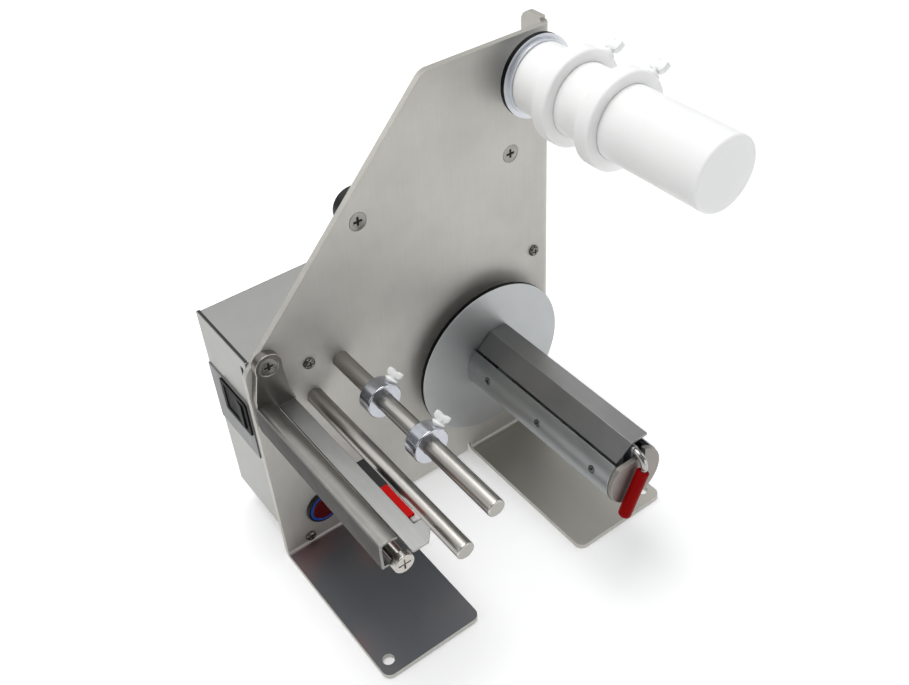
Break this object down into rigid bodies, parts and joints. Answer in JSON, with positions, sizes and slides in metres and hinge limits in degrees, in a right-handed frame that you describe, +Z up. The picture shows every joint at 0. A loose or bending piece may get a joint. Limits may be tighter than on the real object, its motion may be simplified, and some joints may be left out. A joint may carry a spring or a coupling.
{
  "type": "label dispenser machine",
  "caption": "Desk label dispenser: bent steel side plate with a white supply hub and guide rings, guide rods, peeling edge with sensor, motor box and a rewind spindle with a red lever.",
  "frame": {"origin": "on the table under the middle of the machine's box, feet on Z = 0", "axes": "+X to the right along the plate, +Y from the user towards the motor box, +Z up"},
  "size_m": [0.2186, 0.2076, 0.288],
  "materials": {
    "plate_steel": "brushed stainless steel, grain upright",
    "sheet_steel": "fine brushed stainless sheet",
    "control_grey": "satin grey paint",
    "screw_steel": "bright stainless steel",
    "black_rubber": "matt black rubber",
    "switch_black": "black moulded plastic, half gloss",
    "board_green": "green board",
    "standoff_white": "white plastic",
    "gear_alloy": "as-cast alloy",
    "motor_steel": "drawn steel can",
    "shaft_steel": "ground steel",
    "bushing_bronze": "sintered bronze",
    "felt": "pressed felt",
    "spring_steel": "spring steel",
    "disc_alloy": "satin turned aluminium",
    "core_alloy": "plain machined aluminium",
    "wedge_grey": "dark grey anodised, satin",
    "black_screw": "black oxide",
    "lever_steel": "bright drawn rod",
    "grip_red": "soft red dipped grip",
    "white_nylon": "white turned nylon, satin",
    "collar_metal": "polished metal, mirror bright",
    "screw_nylon": "white moulded nylon",
    "rod_steel": "polished stainless rod",
    "peel_steel": "brushed stainless steel",
    "sensor_black": "matt black plastic",
    "sensor_red": "red window",
    "button_black": "black plastic",
    "button_blue": "blue ring",
    "button_red": "dark red cap",
    "handle_black": "black moulded handle"
  },
  "bodies": {
    "frame": {"side_plate": "plate_steel", "box_cover": "sheet_steel", "left_panel": "sheet_steel", "right_panel": "sheet_steel", "box_brackets": "sheet_steel", "control_plate": "control_grey", "plate_screws": "screw_steel", "box_screws": "screw_steel", "motor_screws": "screw_steel", "countersunk_screws": "screw_steel", "roller_screw": "screw_steel", "axle_nut": "screw_steel", "rear_feet": "black_rubber", "rocker_housing": "switch_black", "power_socket": "switch_black", "circuit_board": "board_green", "board_standoffs": "standoff_white", "gearbox": "gear_alloy", "motor_can": "motor_steel", "hub_axle": "shaft_steel", "spindle_bushing": "bushing_bronze", "hub_backing_disc": "core_alloy", "rod_screws": "black_screw", "guide_rod_a": "rod_steel", "guide_rod_b": "rod_steel", "peel_bracket": "peel_steel", "peel_shelf": "peel_steel", "peel_channel": "peel_steel", "button_housing": "button_black", "button_ring": "button_blue", "carrying_handle": "handle_black"},
    "drive": {"output_shaft": "shaft_steel", "spindle_shaft": "shaft_steel", "clutch_plate": "shaft_steel", "clutch_felt": "felt", "clutch_springs": "spring_steel", "clutch_nut": "shaft_steel"},
    "winding_core": {"rewind_disc": "disc_alloy", "core_body": "core_alloy", "core_shell": "disc_alloy", "core_end_plate": "disc_alloy", "core_screws": "black_screw"},
    "release": {"release_lever": "lever_steel", "lever_grip": "grip_red"},
    "wedge": {"wedge_plate": "wedge_grey"},
    "hub": {"supply_hub": "white_nylon", "hub_grub_screw": "black_screw"},
    "ring_rear": {"rear_ring": "white_nylon"},
    "ring_rear_screw": {"rear_ring_screw": "screw_nylon"},
    "ring_front": {"front_ring": "white_nylon"},
    "ring_front_screw": {"front_ring_screw": "screw_nylon"},
    "collar_rear": {"rear_collar": "collar_metal"},
    "collar_rear_screw": {"rear_collar_screw": "screw_nylon"},
    "collar_front": {"front_collar": "collar_metal"},
    "collar_front_screw": {"front_collar_screw": "screw_nylon"},
    "switch_rocker": {"rocker": "switch_black"},
    "button": {"button_cap": "button_red"},
    "roller": {"peel_roller": "rod_steel"},
    "sensor": {"sensor_body": "sensor_black", "sensor_lens": "sensor_red"}
  },
  "joints": [
    {"name": "drive_spin", "type": "hinge", "parent": "frame", "child": "drive", "pos_m": [0.04466, -0.01875, 0.084], "axis": [0, -1, 0], "continuous": true},
    {"name": "clutch_slip", "type": "hinge", "parent": "drive", "child": "winding_core", "pos_m": [0.04466, -0.01875, 0.084], "axis": [0, -1, 0], "continuous": true},
    {"name": "lever_turn", "type": "hinge", "parent": "winding_core", "child": "release", "pos_m": [0.04586, -0.05875, 0.1005], "axis": [0, 1, 0], "range_deg": [0, 90]},
    {"name": "wedge_drop", "type": "slide", "parent": "winding_core", "child": "wedge", "axis": [0, 0, -1], "range_m": [0, 0.0012]},
    {"name": "hub_spin", "type": "hinge", "parent": "frame", "child": "hub", "pos_m": [0.08066, -0.03875, 0.262], "axis": [0, -1, 0], "continuous": true},
    {"name": "rear_ring_slide", "type": "slide", "parent": "hub", "child": "ring_rear", "axis": [0, -1, 0], "range_m": [-0.0205, 0.0205]},
    {"name": "front_ring_slide", "type": "slide", "parent": "hub", "child": "ring_front", "axis": [0, -1, 0], "range_m": [-0.0205, 0.062]},
    {"name": "rear_ring_screw_turn", "type": "hinge", "parent": "ring_rear", "child": "ring_rear_screw", "pos_m": [0.08066, -0.00075, 0.262], "axis": [0.7912, 0, 0.6115], "range_deg": [0, 180]},
    {"name": "front_ring_screw_turn", "type": "hinge", "parent": "ring_front", "child": "ring_front_screw", "pos_m": [0.08066, -0.03225, 0.262], "axis": [0.7912, 0, 0.6115], "range_deg": [0, 180]},
    {"name": "rear_collar_slide", "type": "slide", "parent": "frame", "child": "collar_rear", "axis": [0, -1, 0], "range_m": [-0.034, 0.031]},
    {"name": "front_collar_slide", "type": "slide", "parent": "frame", "child": "collar_front", "axis": [0, -1, 0], "range_m": [-0.031, 0.051]},
    {"name": "rear_collar_screw_turn", "type": "hinge", "parent": "collar_rear", "child": "collar_rear_screw", "pos_m": [-0.05284, 0.00105, 0.1325], "axis": [0.7071, 0, 0.7071], "range_deg": [0, 180]},
    {"name": "front_collar_screw_turn", "type": "hinge", "parent": "collar_front", "child": "collar_front_screw", "pos_m": [-0.05284, -0.04135, 0.1325], "axis": [0.7071, 0, 0.7071], "range_deg": [0, 180]},
    {"name": "rocker_tilt", "type": "hinge", "parent": "frame", "child": "switch_rocker", "pos_m": [-0.10174, 0.07125, 0.107], "axis": [0, 0, 1], "range_deg": [0, 8]},
    {"name": "button_press", "type": "slide", "parent": "frame", "child": "button", "axis": [0, 1, 0], "range_m": [0, 0.002], "stiffness_N_per_m": 500, "springref_m": -0.002},
    {"name": "roller_spin", "type": "hinge", "parent": "frame", "child": "roller", "pos_m": [-0.09934, -0.01875, 0.1166], "axis": [0, -1, 0], "continuous": true},
    {"name": "sensor_slide", "type": "slide", "parent": "frame", "child": "sensor", "axis": [0, -1, 0], "range_m": [-0.055, 0.0045]}
  ],
  "couplings": [
    {"joint": "lever_turn", "follows": "wedge_drop", "rad_per_m": 1309}
  ]
}
